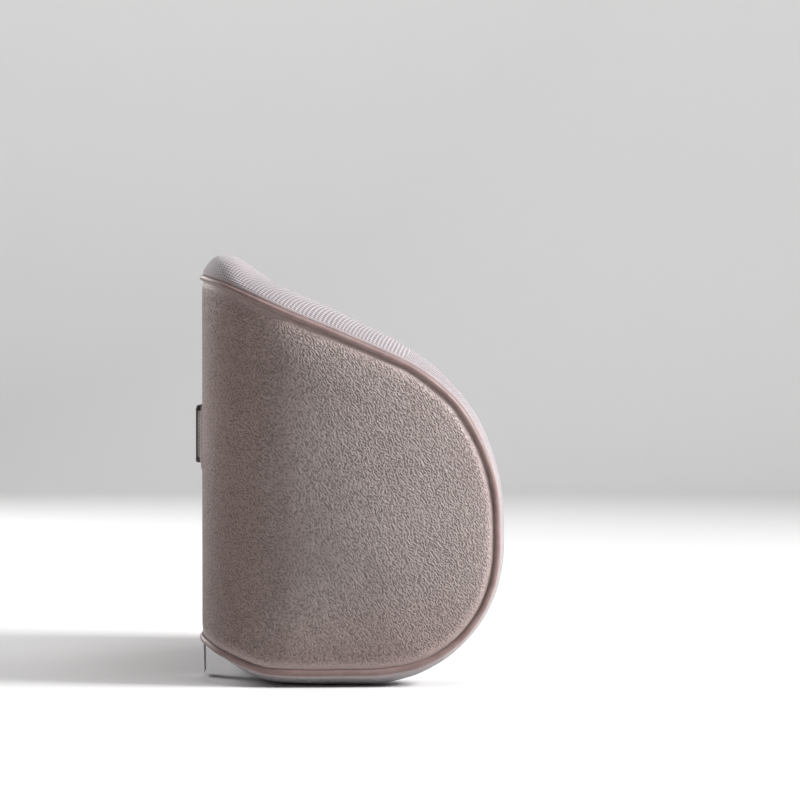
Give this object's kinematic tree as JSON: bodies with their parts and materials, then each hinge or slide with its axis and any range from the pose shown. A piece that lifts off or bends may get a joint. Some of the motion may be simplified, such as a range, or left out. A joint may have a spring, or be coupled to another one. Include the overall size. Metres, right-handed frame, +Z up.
{
  "type": "lumbar support cushion",
  "caption": "Lumbar cushion with wings that wrap round the waist: grained outer cover, mesh front, corded edge, back zip and buckled strap.",
  "frame": {"origin": "middle of the footprint, at the height of the seat it stands on", "axes": "+Z up, +Y towards the chair's back, -Y the way the sitter faces, +X to the sitter's left"},
  "size_m": [0.4446, 0.2478, 0.33],
  "materials": {
    "memory_foam": "open-cell memory foam, soft matt",
    "liner_cloth": "thin plain-woven liner",
    "grained_leatherette": "pebble-grained leatherette, low sheen",
    "spacer_mesh": "knitted spacer mesh with rows of small holes",
    "smooth_leatherette": "smooth leatherette, soft sheen",
    "cord_core": "twisted filler cord",
    "zip_tape": "woven tape",
    "zip_coil": "nylon coil",
    "zip_metal": "dark painted die casting",
    "stop_metal": "crimped metal",
    "webbing": "ribbed woven webbing",
    "buckle_plastic": "moulded plastic, fine spark texture",
    "label_satin": "blank woven satin"
  },
  "bodies": {
    "cushion": {"foam_core": "memory_foam", "inner_liner_front": "liner_cloth", "inner_liner_back": "liner_cloth", "outer_panel": "grained_leatherette", "front_center_panel": "spacer_mesh", "front_wing_panel_left": "spacer_mesh", "front_wing_panel_right": "spacer_mesh", "edge_piping": "smooth_leatherette", "piping_cord": "cord_core", "zip_tape_upper": "zip_tape", "zip_tape_lower": "zip_tape", "zip_coil_upper": "zip_coil", "zip_coil_lower": "zip_coil", "zip_top_stops": "stop_metal", "zip_bottom_stop": "stop_metal", "strap_left": "webbing", "strap_right": "webbing", "strap_anchor_left": "smooth_leatherette", "strap_anchor_right": "smooth_leatherette", "buckle_socket": "buckle_plastic", "care_label": "label_satin"},
    "zip_slider_body": {"zip_slider": "zip_metal"},
    "zip_pull_body": {"zip_pull": "zip_metal"},
    "buckle_plug_body": {"buckle_plug": "buckle_plastic", "buckle_latches": "buckle_plastic"}
  },
  "joints": [
    {"name": "zip_slide", "type": "slide", "parent": "cushion", "child": "zip_slider_body", "axis": [-1, 0, 0], "range_m": [0, 0.245], "deforming": ["zip_tape_upper", "zip_tape_lower", "zip_coil_upper", "zip_coil_lower"]},
    {"name": "zip_pull_swing", "type": "hinge", "parent": "zip_slider_body", "child": "zip_pull_body", "pos_m": [0.126, 0.11485, 0.076], "axis": [0, 0, -1], "range_deg": [0, 165]},
    {"name": "buckle_release", "type": "slide", "parent": "cushion", "child": "buckle_plug_body", "axis": [1, 0, 0], "range_m": [0, 0.024], "deforming": ["strap_right", "buckle_latches"]}
  ]
}
